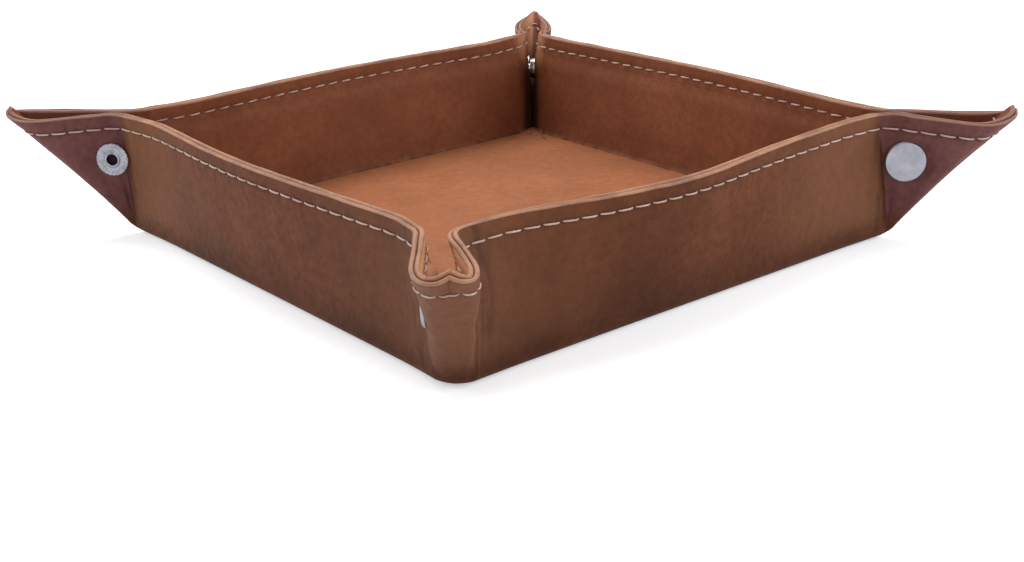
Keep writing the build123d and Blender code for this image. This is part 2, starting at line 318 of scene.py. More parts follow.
# Unevenness: strength, squash of the noise upward, size of the lumps, seed
LUMPS = {
    "swell": (0.22, 1.6, 26.0, 1),
    "pucker": (0.42, 0.16, 2.2, 2),
    "ripple": (0.07, 0.6, 7.0, 3),
    "tuck": (0.18, 0.3, 1.5, 12),
    "near_tuck": (0.26, 0.14, 2.4, 13),
    "slip": (0.16, 1, 9.0, 4),
    "crinkle": (0.16, 1, 3.5, 5),
    "broad_crinkle": (0.12, 1, 11.0, 6),
    "crumple": (0.34, 0.5, 1.9, 10),
    "broad_crumple": (0.204, 1, 4.5, 11),
    "floor": (0.10, 1, 24.0, 8),
    # noise in the painted shade of the creases
    "soil": (0.5, 1, 5.0, 7),
    # noise in the painted shade of the lining's crease at the floor
    "fillet_soil": (0.9, 1, 2.4, 9),
}
NOISE_STEP = 200.0  # how far apart the walls' noise is read
PUCKER_BAND = (-2.0, 3.6)  # middle, outward from the crease, and width
TUCK_BAND = (-2.6, 2.0)  # middle, above the seam, and width
NEAR_TUCK_START = (4, 9)  # along the diagonal
NEAR_TUCK_BAND = (28, 6)  # middle height and width

# The lining
INNER_FOOT_LIFT = 1.75
LIFT_START = (-1.5, 4)  # distances inside the end of the board
CRUMPLE_HEIGHT = 3.0
FILLET_SINK = 0.25  # of the lining's edge, below the floor's top
HALVES_GAP = 0.12  # between a lining half and the middle of its wing
MOUTH_OPENING = 1.9  # how far the lining stands from there where the walls turn into the wings
NEAR_MOUTH_OPENING = 0.8
MOUTH_CLOSES = (-5.0, 1.5)  # along the diagonal
# The square inside the lining's edge where the floor's rings begin
CLEAN_SQUARE = 73.0  # half its side
CLEAN_SPAN = 60.0  # from its middle, as far as its places lie opposite the walls' own
UNDER_LINING = -5.0  # where the floor's edge ends below a wall's lining
RING_SHARES = (1.0, 0.96, 0.88, 0.77, 0.64, 0.5, 0.35, 0.2, 0.08)
SKIN_PROFILE = (  # share of the rim's thickness, and depth below the rim
    (0.02, 0.45), (0.08, 0.18), (0.18, 0.03), (0.26, 0.0), (0.34, 0.05), (0.42, 0.25), (0.455, 0.6),
    (0.48, 1.0),
)
RIM_PROFILE = SKIN_PROFILE + tuple((1 - share, depth) for share, depth in SKIN_PROFILE[::-1])


def smooth(low, high, value):
    """Nothing below low, one above high, and an even curve between them."""
    share = np.clip((value - low) / (high - low), 0, 1)
    return share * share * (3 - 2 * share)


def bell(value, middle, width):
    """One at the middle, falling away to nothing on both sides."""
    return np.exp(-(((value - middle) / width) ** 2))


def wobble(points, size, seed):
    """Smooth noise at each point, about one in height, with lumps of the given size."""
    shift = Vector((seed * 17.3, seed * 5.1, seed * 9.7))
    flat = points.reshape(-1, 3)
    values = [noise.noise(Vector(point) / size + shift) for point in flat]
    return np.array(values).reshape(points.shape[:-1])


def lumps(kind, places):
    """One kind of unevenness, read at places."""
    strength, upward, size, seed = LUMPS[kind]
    return strength * wobble(places * np.array([1, 1, upward]), size, seed)


def unit(vectors, least=0.0):
    """The same directions with a length of one."""
    return vectors / (np.linalg.norm(vectors, axis=-1, keepdims=True) + least)


def lengths_along(line):
    """How far along a row of points each one lies."""
    return np.concatenate([[0], np.cumsum(np.linalg.norm(np.diff(line, axis=0), axis=1))])


def half_of(wall, end):
    """The wing half at this end of a wall: 1 is its right end, seen from outside, -1 its left."""
    return wall, "cap" if end > 0 else "post"


def spline(controls, places):
    """A cubic B-spline through its two end points, read at places from 0 to the last control."""
    first = 2 * controls[:1] - controls[1:2]
    last = 2 * controls[-1:] - controls[-2:-1]
    padded = np.concatenate([first, controls, last])
    base = np.clip(np.floor(places).astype(int), 0, len(controls) - 2)
    part = places - base
    total = 0
    middle = 3 * part**3 - 6 * part**2 + 4, -3 * part**3 + 3 * part**2 + 3 * part + 1
    weights = (1 - part) ** 3, *middle, part**3
    for step, weight in enumerate(weights):
        total = total + weight.reshape(-1, *[1] * (controls.ndim - 1)) * padded[base + step] / 6
    return total


def round_places(out):
    """Places round the near corner's foot, along and across, with the walls' faces at this out."""
    middle = FOOT_OUT - ROUND_FOOT
    return [
        (middle * ROOT2 + (out - middle) * math.cos(turn), (out - middle) * math.sin(turn))
        for turn in np.radians(ROUND_TURNS)
    ]


def foot_places(half):
    """Places along and across the diagonal where a wing half meets the top of the foot."""
    return round_places(FOOT_OUT) if half in NEAR_CORNER else WING_FOOT


def wing_places(half, rise):
    """Control points of a wing half, along, across and up, from its tip to its crease."""
    rows = []
    for place, (along, across, height) in enumerate(WINGS[half]):
        foot_along, foot_across = foot_places(half)[place]
        pinch = PINCH[half][place] if half in PINCH else 0
        bulge = 0 if pinch else WING_BULGE[place]
        if place == len(WINGS[half]) - 1:
            bulge = CREASE_BELLY.get(half, 0)
        spread = rise * (1 - pinch * (1 - smooth(*PINCH_ENDS, rise)))
        sag = WING_SAG[place] * 4 * rise * (1 - rise)
        row = (
            foot_along + (along - foot_along) * rise - sag,
            foot_across + (across - foot_across) * spread + bulge * 4 * spread * (1 - rise),
            FOOT_HEIGHT + (height - FOOT_HEIGHT) * rise,
        )
        rows.append(np.stack(row, -1))
    rows[0] += smooth(0.84, 1.0, rise)[:, None] * np.array(TIP_NOTCH.get(half, (0, 0, 0)))
    return rows


def wall_side(wall, end, rise):
    """Control points from a wing's tip to the wall's middle, at shares of the height.

    The result is in the wall's own frame: along the wall, outward from its foot, and up.
    """
    half = half_of(wall, end)
    *rows, crease = wing_places(half, rise)
    shift = CREASE_SHIFT * bell(rise, *CREASE_SHIFT_AT) * smooth(0, 0.1, rise) / ROOT2
    crease[:, 0] += shift
    crease[:, 1] -= shift
    width = CREASE_SHARP * smooth(-0.1, 0.3, rise)
    width = width + (RIM_BEND.get(half, CREASE_SOFT) - CREASE_SHARP) * smooth(0.72, 1.0, rise)
    before, after = crease.copy(), crease.copy()
    before[:, 0] += width
    after[:, 0] -= width / ROOT2
    after[:, 1] += width / ROOT2
    wing = np.array([*rows, before, crease, after])
    points = [np.stack([*from_corner(wing[..., 0], wing[..., 1], end), wing[..., 2]], -1)]
    side = int(end > 0)
    for station, bow, extra in zip(WALL_STATIONS, WALL_BOW[wall][side], WALL_RAISE[wall][side]):
        out = bow * rise
        height = FOOT_HEIGHT + (np.sqrt(RIM_HEIGHT**2 - out**2) + extra - FOOT_HEIGHT) * rise
        points.append(np.stack([np.full_like(rise, end * station), out, height], -1)[None])
    return np.concatenate(points)


def base_side(wall, end):
    """The same control points on the tray's underside, where the foot's rounding ends."""
    near = half_of(wall, end) in NEAR_CORNER
    *points, (along, across) = round_places(-FOOT_HEIGHT) if near else WING_BASE
    points += [
        (along - 0.05, across - 0.07),
        (along, across),
        (along - CREASE_SHARP / ROOT2, across + CREASE_SHARP / ROOT2),
    ]
    rows = [(*from_corner(along, across, end), 0) for along, across in points]
    rows += [(end * station, -FOOT_HEIGHT, 0) for station in WALL_STATIONS]
    return np.array(rows, float)[:, None]


def from_corner(along, across, end):
    """Places along and out from a wall's foot, from those along and across the diagonal."""
    return end * (HALF_SIDE + (along - across) / ROOT2), (along + across) / ROOT2


def corner_places(points, end):
    """Along and across the diagonal at one end of a wall, from the wall's own frame."""
    beyond = end * points[..., 0] - HALF_SIDE
    out = points[..., 1]
    return (beyond + out) / ROOT2, (out - beyond) / ROOT2


def make_strip(wall):
    """The sheet round one wall and its two wing halves, as rows of points in the wall's own frame."""
    low = np.linspace(0, HIGH_START, LOW_ROWS, endpoint=False)
    high = np.linspace(HIGH_START, 1 - RIM_ROUNDING / WALL_RISE, HIGH_ROWS)
    rise = np.concatenate([low, high, [1.0]])
    both = np.concatenate([wall_side(wall, -1, rise), wall_side(wall, 1, rise)[::-1]])
    probe = np.linspace(0, len(both) - 1, PROBES)
    length = lengths_along(spline(both[:, int(np.argmin(abs(rise - COLUMN_ROW)))], probe))
    count = int(length[-1] / COLUMN_STEP)
    places = np.interp(np.linspace(0, length[-1], count + 1), length, probe)
    outer = spline(both, places)
    base = spline(np.concatenate([base_side(wall, -1), base_side(wall, 1)[::-1]]), places)[:, 0]
    away = outer[:, 0, :2] - base[:, :2]
    away = unit(away)
    climb = outer[:, 1] - outer[:, 0]
    lean = np.maximum((climb[:, :2] * away).sum(-1), 0)
    most = np.maximum(np.arctan2(climb[:, 2], lean), math.pi / 4)
    angles = np.linspace(0, 1, FOOT_ROWS, endpoint=False) * most[:, None]
    share = np.sin(angles) / np.sin(most)[:, None]
    foot = np.zeros((len(places), FOOT_ROWS, 3))
    foot[..., :2] = base[:, None, :2] + (outer[:, :1, :2] - base[:, None, :2]) * share[..., None]
    foot[..., 2] = FOOT_HEIGHT * (1 - np.cos(angles)) / (1 - np.cos(most))[:, None]
    return rise, outer, foot


def normals_of(points):
    """Outward normals of a grid of points whose columns run along the wall and rows run up."""
    across = np.gradient(points, axis=0)
    up = np.gradient(points, axis=1)
    normal = unit(np.cross(up, across), 1e-9)
    faces_in = normal[len(points) // 2, 5, 1] < 0
    return -normal if faces_in else normal


def seam_marks(line):
    """Where each stitch lies along a row of points: lengths to its middle, and the row's own lengths."""
    length = lengths_along(line)
    count = round(length[-1] / STITCH_PITCH)
    return np.linspace(0, length[-1], count + 1), length


def tip_column(end):
    """The column of a strip that runs down the wing's folded edge at this end."""
    return 0 if end < 0 else -1


def at_corner(points, end):
    """Whether each point lies near this end's corner or beyond it."""
    return end * points[..., 0] > HALF_SIDE - CORNER_ZONE


def push_across(points, end, shift):
    """Move points outward across the diagonal at one end, in place."""
    points[..., 0] -= end * shift / ROOT2
    points[..., 1] += shift / ROOT2


def away_from_snap(points, end):
    """How far each point lies from the snap's axis."""
    along = corner_places(points, end)[0]
    return np.hypot(along - SNAP_REACH, points[..., 2] - SNAP_HEIGHT)


def press_flat(outer):
    """Lay the leather flat where a snap clamps it, with a faint lip round the snap, in place."""
    for end in (-1, 1):
        along, across = corner_places(outer, end)
        away = away_from_snap(outer, end)
        tip_along = corner_places(outer[tip_column(end)], end)[0]
        hold = (1 - smooth(*CLAMP_EDGE, away)) * smooth(*CLAMP_TIP, tip_along - along)
        shift = (SNAP_FACE + SNAP_LIP_HEIGHT * bell(away, *SNAP_LIP) - across) * hold
        push_across(outer, end, np.where(at_corner(outer, end), shift, 0))


def level_tips(normal):
    """Turn the normals along each folded edge into the wing's middle plane, in place."""
    for end in (-1, 1):
        column = tip_column(end)
        side = np.array([-end, 1, 0]) / ROOT2
        normal[column] -= (normal[column] @ side)[:, None] * side
        normal[column] = unit(normal[column])


def past_creases(wall, outer, rise):
    """How far out along the diagonal each point lies from the crease between wall and wing."""
    past = np.full(outer.shape[:2], -99.0)
    for end in (-1, 1):
        half = half_of(wall, end)
        low, high = foot_places(half)[-1][0], WINGS[half][-1][0]
        along = corner_places(outer, end)[0]
        past = np.where(end * outer[..., 0] > 0, along - low - (high - low) * rise, past)
    return past


def unevenness(wall, outer, rise, place, puckers):
    """How far the leather stands out from its even form: broad swells, small puckers and tucks."""
    keep = np.ones_like(puckers)
    for end in (-1, 1):
        clear = smooth(*SNAP_CLEAR, away_from_snap(outer, end))
        beside = abs(outer[..., 0] - end * HALF_SIDE) < WING_SPAN
        keep = np.minimum(keep, np.where(beside, clear, 1))
    above_seam = (rise - 1) * WALL_RISE + SEAM_BELOW_RIM
    tucks = bell(above_seam, *TUCK_BAND) * lumps("tuck", place)
    for end in (-1, 1):
        if half_of(wall, end) in NEAR_CORNER:
            along = corner_places(outer, end)[0]
            band = smooth(*NEAR_TUCK_START, along) * bell(outer[..., 2], *NEAR_TUCK_BAND)
            tucks = tucks + band * lumps("near_tuck", place)
    offset = lumps("swell", place) + puckers + lumps("ripple", place) + tucks
    offset = offset * keep * smooth(0.0, 0.15, rise)
    offset[0], offset[-1] = 0, 0
    return offset


def keep_apart(wall, end, outer, inner, rise):
    """Hold the lining of one wing half on its own side of the wing's middle, in place."""
    column = tip_column(end)
    along, across = corner_places(inner, end)
    tip_along, tip_across = corner_places(outer[column], end)
    share = np.clip(along / np.maximum(tip_along, 1), 0, 1)
    centre = centre_of_neck(wall, end) * rise ** 2 * (1 - share) + tip_across * share
    opening = NEAR_MOUTH_OPENING if half_of(wall, end) in NEAR_CORNER else MOUTH_OPENING
    closed = centre + HALVES_GAP
    open_mouth = closed + opening * (1 - smooth(*MOUTH_CLOSES, along))
    own_side = corner_places(outer, end)[1]
    least = np.minimum(open_mouth, np.maximum(own_side - LEAST_THICKNESS, closed))
    shift = np.where(at_corner(inner, end), np.maximum(least - across, 0), 0)
    shift[column] = 0
    push_across(inner, end, shift)


def centre_of_neck(wall, end):
    """Where the middle between the two halves lies at the rim of a corner, on this half's own side."""
    beside = WALLS[(WALLS.index(wall) + end) % 4]
    return (WINGS[half_of(wall, end)][-2][1] - WINGS[half_of(beside, -end)][-2][1]) / 2


def lining_face(wall, outer, normal, rise, distance, place):
    """The lining's face, lifted and crumpled where it turns into the floor."""
    top = smooth(*BOARD_TOP, outer[..., 2])
    thickness = WALL_THICKNESS + (SEAM_THICKNESS - WALL_THICKNESS) * top
    thickness = thickness + (WING_THICKNESS - thickness) * (1 - smooth(*BOARD_END, distance))
    inner = outer - normal * thickness[..., None]
    for end in (-1, 1):
        keep_apart(wall, end, outer, inner, rise)
    lift = INNER_FOOT_LIFT * (1 - rise) ** 3 * smooth(*LIFT_START, distance[:, :1])
    inner[..., 2] += lift
    low_down = bell(inner[..., 2], INNER_FOOT_LIFT + FOOT_HEIGHT, CRUMPLE_HEIGHT)
    crumple = lumps("crumple", place) + lumps("broad_crumple", place)
    lifted = (lift > 0.01).any(1)[:, None]
    inner -= normal * (low_down * crumple * lifted)[..., None]
    return inner


def rim_band(outer, inner, place):
    """The rim: two skins side by side with a groove between them."""
    up = unit(outer[:, -1] - outer[:, -2])
    slip = lumps("slip", place[:, -1])
    rows = []
    for share, depth in RIM_PROFILE:
        level = outer[:, -1] + (inner[:, -1] - outer[:, -1]) * share
        layer = slip if share < 0.5 else -slip
        rows.append(level - up * (depth - layer)[:, None])
    return np.stack(rows, 1)


def floor_fillet(low, normal, place):
    """Rows of points where the lining turns into the floor with an uneven crease."""
    angles = np.linspace(0, math.pi / 2, FOOT_ROWS + 1)[1:]
    inward = -normal
    inward[:, 2] = 0
    inward = unit(inward, 1e-9)
    radius = low[:, 2] - FLOOR_TOP + FILLET_SINK
    reach = radius * (1 + lumps("crinkle", place) + lumps("broad_crinkle", place))
    fillet = low[:, None] + inward[:, None] * (reach[:, None] * (1 - np.cos(angles)))[..., None]
    fillet[..., 2] = low[:, None, 2] - radius[:, None] * np.sin(angles)
    return fillet


def outer_painted_shade(wall, past, rise, below, place, puckers):
    """How dark the outer face is painted as shade: in the creases and puckers, along the seam and near the foot."""
    ends = [NEAR_CREASE_SHADE if half_of(wall, end) in NEAR_CORNER else CREASE_SHADE for end in (-1, 1)]
    soil = np.where(place[..., 0] < WALLS.index(wall) * NOISE_STEP, *ends)
    soil = soil * bell(past, 0, CREASE_SHADE_WIDTH) * (1 - smooth(0.7, 0.85, rise))
    soil = soil * smooth(0.03, 0.12, rise) * np.clip(1 + lumps("soil", place), 0, 1)
    soil = np.maximum(soil, np.clip(PUCKER_SHADE * -puckers, 0, 0.6))
    soil = np.maximum(soil, SEAM_SHADE * bell(below, 0, 0.8))
    return np.maximum(soil, FOOT_SHADE[-1] * (1 - smooth(0.0, 0.4, rise)))[:, :-1]


def all_looks(wall, outer, inner, past, rise, place, soil):
    """How much painted purple-brown shade, painted shade with some dirt, and painted light and sheen each point of the
    whole columns takes.
    """
    # painted shade: how far each point takes the wings' darker purple-brown colours
    wing_shade = smooth(-0.7, 0.7, past) * smooth(0.02, 0.2, rise)
    wing_shade = wing_shade * np.where(place[..., 0] < WALLS.index(wall) * NOISE_STEP, *WING_SHADE[wall])
    mouth_shade_and_dirt, worn, painted_sheen = (np.zeros_like(soil) for _ in range(3))
    outside = past[:, :-1]
    for end in (-1, 1):
        half = half_of(wall, end)
        own_end = end * inner[..., 0] > 0
        along, across = corner_places(inner, end)
        # painted shade, with some dirt, deep in the wings' mouths
        dark = (1 - smooth(*MOUTH_SHADE_ACROSS, across)) * (1 - smooth(*MOUTH_SHADE_HEIGHT, inner[..., 2]))
        mouth_shade_and_dirt = np.where(own_end, MOUTH_SHADE_AND_DIRT * dark, mouth_shade_and_dirt)
        # painted sheen on the outer face towards this end of the wall
        pale = PAINTED_SHEEN * smooth(*PAINTED_SHEEN_SPAN, end * outer[..., 0])
        if half in NEAR_CORNER:
            pale = pale * (NEAR_PAINTED_SHEEN[0] + NEAR_PAINTED_SHEEN[1] * smooth(-1, 3, outside))
        else:
            pale = pale * (1 - smooth(-3, 1, outside))
        painted_sheen = np.maximum(painted_sheen, pale * smooth(0.0, 0.18, rise[:-1]))
        # painted light: the lining paler high inside these corners
        lit_lining = smooth(-8, -2, along) * smooth(24, 33, inner[..., 2]) * smooth(0.8, 2.6, across)
        worn = np.where(own_end, PAINTED_LIGHT_LINING.get(half, 0) * lit_lining, worn)
    # the lining takes half the outer face's painted shade, and the mouths' painted shade and dirt
    inner_shade_and_dirt = np.maximum(0.5 * soil * smooth(0.0, 0.2, rise[:-1]), mouth_shade_and_dirt)
    # painted shade deepening into the lining's crease at the floor
    ramp = np.linspace(0.2, 1.0, FOOT_ROWS)
    fillet_soil = ramp * np.clip(0.55 + lumps("fillet_soil", place[:, 0]), 0, 1)[:, None]
    at_rim, at_foot = (np.zeros((len(soil), count)) for count in (len(RIM_PROFILE), FOOT_ROWS))
    over_rim = np.repeat(wing_shade[:, -1:], len(RIM_PROFILE), 1)
    foot_shade = np.tile(FOOT_SHADE, (len(soil), 1))
    return (
        np.concatenate([at_foot, wing_shade[:, :-1], over_rim, wing_shade[:, -2::-1], at_foot], 1),
        np.concatenate([foot_shade, soil, at_rim, inner_shade_and_dirt[:, ::-1], fillet_soil], 1),
        np.concatenate([at_foot, painted_sheen, at_rim, worn[:, ::-1], at_foot], 1),
    )


def shape_strip(wall):
    """One wall and its wing halves as columns of points, with the looks and the seam."""
    rise, outer, foot = make_strip(wall)
    press_flat(outer)
    normal = normals_of(outer)
    level_tips(normal)
    distance = HALF_SIDE - BOARD_MARGIN - abs(outer[..., 0])
    past = past_creases(wall, outer, rise)
    place = outer + np.array([WALLS.index(wall) * NOISE_STEP, 0, 0])  # where this wall's noise is read
    puckers = bell(past, *PUCKER_BAND) * lumps("pucker", place)
    offset = unevenness(wall, outer, rise, place, puckers)
    outer = outer + normal * offset[..., None]

    # The seam sinks into the leather, deepest at each needle hole
    seam_row = int(np.argmin(abs(rise - (1 - SEAM_BELOW_RIM / WALL_RISE))))
    marks, length = seam_marks(outer[:, seam_row])
    gap = np.min(abs((length[:, None] - marks[None])), axis=1)
    hole = bell(gap, STITCH_PITCH / 2, HOLE_WIDTH)
    below = (rise - rise[seam_row]) * WALL_RISE
    valley = (SEAM_DEPTH + HOLE_DEPTH * hole[:, None]) * bell(below, 0, 1.0)
    inner = lining_face(wall, outer, normal, rise, distance, place)
    inner_line = inner[:, seam_row].copy()
    outer = outer - normal * valley[..., None]
    inner = inner + normal * (valley * 0.8)[..., None]

    rim = rim_band(outer, inner, place)
    outer, inner, normal = outer[:, :-1], inner[:, :-1], normal[:, :-1]
    # painted shade on the outer face
    soil = outer_painted_shade(wall, past, rise, below, place, puckers)
    fillet = floor_fillet(inner[:, 0], normal[:, 0], place[:, 0])
    along = outer[:, outer.shape[1] // 2, 0]
    side = FOOT_ROWS + outer.shape[1]
    return {
        "columns": np.concatenate([foot, outer, rim, inner[:, ::-1], fillet], 1),
        "kinds": [0] * side + [1] * len(RIM_PROFILE) + [2] * side,
        "looks": all_looks(wall, outer, inner, past, rise, place, soil),
        "borders": [int(np.argmin(abs(along - x))) for x in (-BORDER, BORDER)],
        "marks": marks, "length": length, "inner_line": inner_line,
        "outer_line": outer[:, seam_row], "outer_tips": outer[:, seam_row] + normal[:, seam_row],
    }


def to_tray(points, turn):
    """From a wall's own frame, along, out and up, to the tray's."""
    x, out, z = points[..., 0], points[..., 1], points[..., 2]
    y = -HALF_SIDE - out
    angle = turn * math.pi / 2
    c, s = round(math.cos(angle)), round(math.sin(angle))
    return np.stack([c * x - s * y, s * x + c * y, z], -1)


# Materials


def fill(tree, socket, value):
    """Give an input a value, or link another node's output to it."""
    if isinstance(value, bpy.types.NodeSocket):
        tree.links.new(value, socket)
    else:
        socket.default_value = value


def node(tree, kind, *firsts, **values):
    """A new node, with what its first inputs get and what named inputs or settings get."""
    made = tree.nodes.new(kind)
    for socket, value in zip(made.inputs, firsts):
        fill(tree, socket, value)
    for name, value in values.items():
        if name in made.inputs:
            fill(tree, made.inputs[name], value)
        else:
            setattr(made, name, value)
    return made


def new_material(name):
    material = bpy.data.materials.new(name)
    material.use_nodes = True
    return material, material.node_tree


def finish(material, inputs, bumps=()):
    """Fill the shader's inputs and chain bumps: each has a height, its size in metres and a strength."""
    tree = material.node_tree
    shader = tree.nodes["Principled BSDF"]
    for name, value in inputs.items():
        fill(tree, shader.inputs[name], value)
    last = {}
    for height, distance, strength in bumps:
        bump = node(tree, "ShaderNodeBump", Height=height, Distance=distance, Strength=strength, **last)
        last = {"Normal": bump.outputs["Normal"]}
        fill(tree, shader.inputs["Normal"], bump.outputs["Normal"])
    return material


def object_place(tree):
    return node(tree, "ShaderNodeTexCoord").outputs["Object"]


def noises(tree, *kinds):
    """Noise in the object's own frame, once for each scale, detail and roughness."""
    place = object_place(tree)
    for scale, detail, roughness in kinds:
        texture = node(tree, "ShaderNodeTexNoise", place, Scale=scale, Detail=detail, Roughness=roughness)
        yield texture.outputs["Fac"]


def mark(tree, label):
    """One of the values that a mesh keeps at each point."""
    return node(tree, "ShaderNodeAttribute", attribute_name=label).outputs["Fac"]


def linear(colour):
    """From display colour, 0 to 255, to the renderer's."""
    values = [c / 255 for c in colour]
    return tuple([c / 12.92 if c < 0.04045 else ((c + 0.055) / 1.055) ** 2.4 for c in values] + [1])


def mix_colour(tree, factor, low, high):
    mix = node(tree, "ShaderNodeMix", factor, data_type="RGBA")
    fill(tree, mix.inputs[6], low)
    fill(tree, mix.inputs[7], high)
    return mix.outputs[2]


def darker(colour, share):
    return linear([c * share for c in colour])


def scaled(tree, value, low, high, out_low=0.0, out_high=1.0):
    """A value stretched from one range to another."""
    return node(tree, "ShaderNodeMapRange", value, low, high, out_low, out_high).outputs["Result"]


PAINTED_LIGHT_COLOUR = (214, 158, 122)  # painted light: the pale colour of the lit lining in two corners and of the sheen towards the walls' ends
# painted shade: the darker purple the cut edge takes on the wings
WING_EDGE_SHADE = (112, 70, 62)


def leather(name, light, dark, wing_light, wing_dark, roughness, grain):
    """Smooth faux leather: fine pores and grain, cloudy colour, a painted purple-brown shade on the wings, painted
    shade with some dirt, and painted light.
    """
    material, tree = new_material(name)
    kinds = ((28.0, 4.0, 0.6), (420.0, 3.0, 0.65), (3200.0, 2.0, 0.5), (170.0, 5.0, 0.55))
    clouds, mottle, pores, folds = noises(tree, *kinds)
    cells = node(tree, "ShaderNodeTexVoronoi", object_place(tree), feature="DISTANCE_TO_EDGE", Scale=1500.0)
    cells = cells.outputs["Distance"]
    cloud = scaled(tree, clouds, 0.32, 0.68)
    body = mix_colour(tree, cloud, linear(dark), linear(light))
    wing = mix_colour(tree, cloud, linear(wing_dark), linear(wing_light))
    # painted shade: the wings take the darker purple-brown pair of colours
    colour = mix_colour(tree, mark(tree, "wing"), body, wing)
    for factor, over in (
        (scaled(tree, mottle, 0.35, 0.7, 0.0, 0.4), darker(dark, 0.8)),
        (scaled(tree, cells, 0.0, 0.12, 0.16, 0.0), darker(dark, 0.6)),
        # painted shade in creases, puckers, the seam and the foot, with some dirt in the mouths
        (mark(tree, "soil"), darker(dark, 0.42)),
        # painted light: paler lining in two corners, and sheen towards the walls' ends
        (mark(tree, "worn"), linear(PAINTED_LIGHT_COLOUR)),
    ):
        colour = mix_colour(tree, factor, colour, over)
    rough = scaled(tree, mottle, 0.3, 0.7, roughness - 0.05, roughness + 0.07)
    edge = scaled(tree, cells, 0.0, 0.25)
    bumps = (folds, 0.0007, 0.35 * grain), (edge, 0.00012, 0.35 * grain), (pores, 0.00008, 0.4 * grain)
    return finish(material, {"Base Color": colour, "Roughness": rough, "Specular IOR Level": 0.08}, bumps)


def patchy(tree, noise_value, light, dark):
    """A colour that drifts between two."""
    return mix_colour(tree, scaled(tree, noise_value, 0.35, 0.65), linear(dark), linear(light))


def edge_paint(name, light, dark):
    """The cut edge of the sheet: a paler band with dry fibres, and a painted darker purple shade on the wings."""
    material, tree = new_material(name)
    patches, fibres = noises(tree, (110.0, 5.0, 0.6), (1900.0, 3.0, 0.7))
    colour = patchy(tree, patches, light, dark)
    # painted shade: darker purple on the wings' edges
    worn = scaled(tree, mark(tree, "wing"), 0.0, 1.0, 0.0, 0.7)
    colour = mix_colour(tree, worn, colour, linear(WING_EDGE_SHADE))
    colour = mix_colour(tree, scaled(tree, fibres, 0.4, 0.7, 0.0, 0.35), colour, darker(dark, 0.62))
    rough = scaled(tree, fibres, 0.3, 0.7, 0.5, 0.7)
    bumps = ((fibres, 0.0001, 0.5), (patches, 0.0004, 0.3))
    return finish(material, {"Base Color": colour, "Roughness": rough}, bumps)


def thread_material(name, light, dark, shade):
    """Twisted polyester thread, pale and slightly soiled."""
    material, tree = new_material(name)
    twist, soil = noises(tree, (2400.0, 2.0, 0.6), (120.0, 3.0, 0.6))
    colour = patchy(tree, soil, light, dark)
    colour = mix_colour(tree, scaled(tree, twist, 0.4, 0.65, 0.4, 0.0), colour, linear(shade))
    inputs = {"Base Color": colour, "Roughness": 0.62, "Sheen Weight": 0.2}
    return finish(material, inputs, ((twist, 0.00015, 0.7),))


def plated(name, light, dark, roughness, scale, bump):
    """Nickel plate with smudges and small pits."""
    material, tree = new_material(name)
    smudge, pits = noises(tree, (scale, 4.0, 0.6), (scale * 9, 3.0, 0.7))
    rough = scaled(tree, pits, 0.3, 0.7, roughness - 0.05, roughness + 0.1)
    inputs = {"Base Color": patchy(tree, smudge, light, dark), "Roughness": rough, "Metallic": 1.0}
    return finish(material, inputs, ((pits, 0.0001, bump),))


# The second pair of colours in each leather is its painted purple-brown shade for the wings
OUTER = leather("outer_leather", (115, 66, 42), (85, 47, 30), (124, 82, 82), (103, 65, 65), 0.56, 1.0)
LINING = leather("lining_leather", (147, 91, 64), (125, 73, 50), (128, 74, 58), (104, 58, 46), 0.5, 0.9)
# The floor's lining is a paler copy of the walls' lining, partly painted light: the floor lies open to the light from
# above
FLOOR = leather("floor_leather", (171, 109, 75), (150, 94, 64), (150, 96, 70), (130, 82, 60), 0.52, 0.8)
EDGE = edge_paint("painted_edge", (172, 122, 90), (134, 90, 66))
THREAD = thread_material("pale_thread", (216, 190, 176), (182, 150, 136), (140, 112, 96))
CAP_METAL = plated("satin_nickel_cap", (152, 152, 161), (134, 134, 143), 0.36, 260, 0.2)
RING_METAL = plated("satin_nickel_ring", (158, 158, 166), (122, 122, 130), 0.32, 500, 0.3)
BRIGHT_METAL = plated("bright_nickel", (220, 216, 210), (190, 186, 182), 0.22, 300, 0.2)
# painted shade: a near-black plate for the ring's hole, which is dark with shade
HOLE_SHADE_METAL = plated("dull_hollow", (30, 27, 32), (16, 15, 18), 0.5, 500, 0.3)
SPRING_METAL = plated("drawn_wire", (190, 190, 194), (150, 150, 156), 0.28, 500, 0.3)


# Pieces


def add_object(name, data):
    made = bpy.data.objects.new(name, data)
    bpy.context.scene.collection.objects.link(made)
    return made


def make_object(name, points, faces, kinds, materials, marks=None):
    """A closed mesh from points in millimetres, with a material for each kind of face."""
    mesh = bpy.data.meshes.new(name)
    mesh.from_pydata((points * MM).tolist(), [], faces)
    for material in materials:
        mesh.materials.append(material)
    mesh.polygons.foreach_set("material_index", np.array(kinds, np.int32))
    for label, values in (marks or {}).items():
        mask = mesh.attributes.new(label, "FLOAT", "POINT")
        mask.data.foreach_set("value", values.astype(np.float32))
    mesh.validate()
    mesh.update()
    mesh.shade_smooth()
    mesh.set_sharp_from_angle(angle=math.radians(55))
    return add_object(name, mesh)


